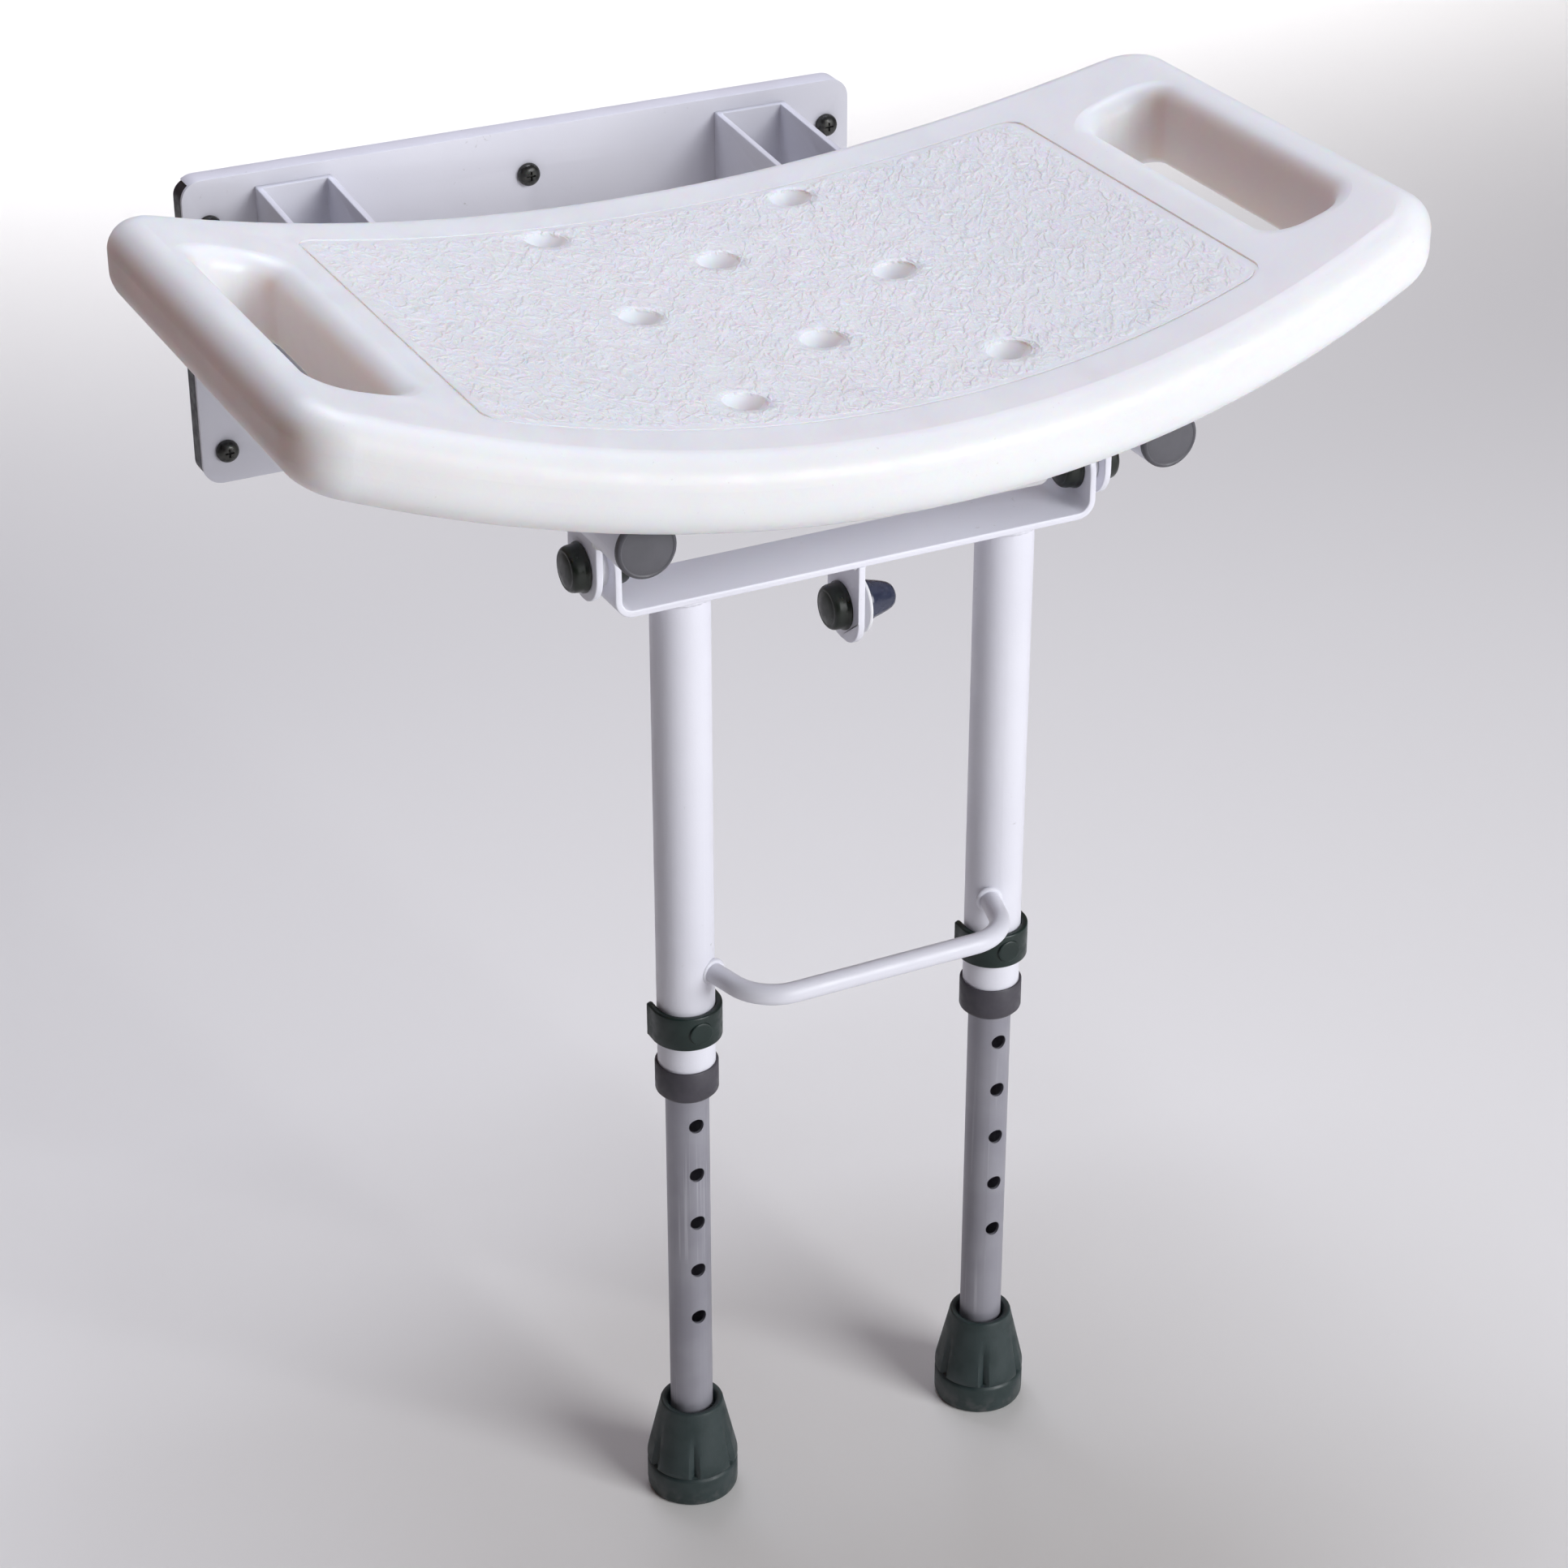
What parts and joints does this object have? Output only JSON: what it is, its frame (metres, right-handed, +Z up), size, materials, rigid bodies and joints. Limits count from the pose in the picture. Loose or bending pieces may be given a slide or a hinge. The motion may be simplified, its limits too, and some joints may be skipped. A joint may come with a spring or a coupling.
{
  "type": "folding shower seat",
  "caption": "Wall-hinged folding shower seat: dished plastic board with hand slots and drains on two steel arms, with a folding leg frame and height-adjustable rubber feet.",
  "frame": {"origin": "centre of the four outer wall screws, on the wall's face", "axes": "+Z up, +Y into the wall, -Y into the room, +X along the wall to the right of someone facing the wall"},
  "size_m": [0.497, 0.44, 0.5788],
  "materials": {
    "white_powder_coat": "satin powder coat",
    "seat_plastic": "satin moulded polyethylene",
    "dark_plastic": "moulded, satin",
    "grey_plastic": "moulded, satin",
    "nylon": "moulded",
    "brushed_aluminium": "satin anodised",
    "foot_rubber": "matt",
    "buffer_rubber": "satin",
    "zinc_steel": "zinc plated",
    "dark_steel": "blackened"
  },
  "bodies": {
    "wall_bracket": {"wall_plate": "white_powder_coat", "plate_end_caps": "dark_plastic", "left_hinge_bracket": "white_powder_coat", "right_hinge_bracket": "white_powder_coat", "wall_screws": "dark_steel", "rear_pivot_bolts": "zinc_steel", "rear_pivot_nuts": "zinc_steel", "rear_pivot_caps": "dark_plastic"},
    "seat_frame": {"seat_board": "seat_plastic", "left_arm_tube": "white_powder_coat", "right_arm_tube": "white_powder_coat", "front_tube_plugs": "grey_plastic", "rear_tube_plugs": "grey_plastic", "left_hanger": "white_powder_coat", "right_hanger": "white_powder_coat", "seat_screws": "zinc_steel", "rear_pivot_bushes": "nylon"},
    "leg_frame": {"leg_crossbar": "white_powder_coat", "left_upper_leg": "white_powder_coat", "right_upper_leg": "white_powder_coat", "brace_rod": "white_powder_coat", "front_pivot_bolts": "zinc_steel", "front_pivot_nuts": "zinc_steel", "front_pivot_caps": "dark_plastic", "front_pivot_spacers": "nylon", "stop_bracket": "white_powder_coat", "stop_bolt": "zinc_steel", "stop_nut": "zinc_steel", "stop_bolt_cap": "dark_plastic", "stop_washer": "nylon", "rubber_buffer": "buffer_rubber", "left_collar": "dark_plastic", "right_collar": "dark_plastic"},
    "left_foot": {"left_lower_leg": "brushed_aluminium", "left_leg_glide": "nylon", "left_ferrule": "foot_rubber"},
    "right_foot": {"right_lower_leg": "brushed_aluminium", "right_leg_glide": "nylon", "right_ferrule": "foot_rubber"},
    "left_clip": {"left_spring_clip": "dark_plastic"},
    "right_clip": {"right_spring_clip": "dark_plastic"}
  },
  "joints": [
    {"name": "seat_fold", "type": "hinge", "parent": "wall_bracket", "child": "seat_frame", "pos_m": [0, -0.095, 0.0485], "axis": [-1, 0, 0], "range_deg": [0, 90]},
    {"name": "leg_fold", "type": "hinge", "parent": "seat_frame", "child": "leg_frame", "pos_m": [0, -0.336, 0.016], "axis": [1, 0, 0], "range_deg": [0, 90]},
    {"name": "left_leg_adjust", "type": "slide", "parent": "leg_frame", "child": "left_foot", "axis": [0, 0, 1], "range_m": [0, 0.1524]},
    {"name": "right_leg_adjust", "type": "slide", "parent": "leg_frame", "child": "right_foot", "axis": [0, 0, 1], "range_m": [0, 0.1524]},
    {"name": "left_clip_pull", "type": "slide", "parent": "leg_frame", "child": "left_clip", "axis": [0, -1, 0], "range_m": [0, 0.024]},
    {"name": "right_clip_pull", "type": "slide", "parent": "leg_frame", "child": "right_clip", "axis": [0, -1, 0], "range_m": [0, 0.024]}
  ],
  "couplings": [
    {"joint": "leg_fold", "follows": "seat_fold", "ratio": 1}
  ]
}
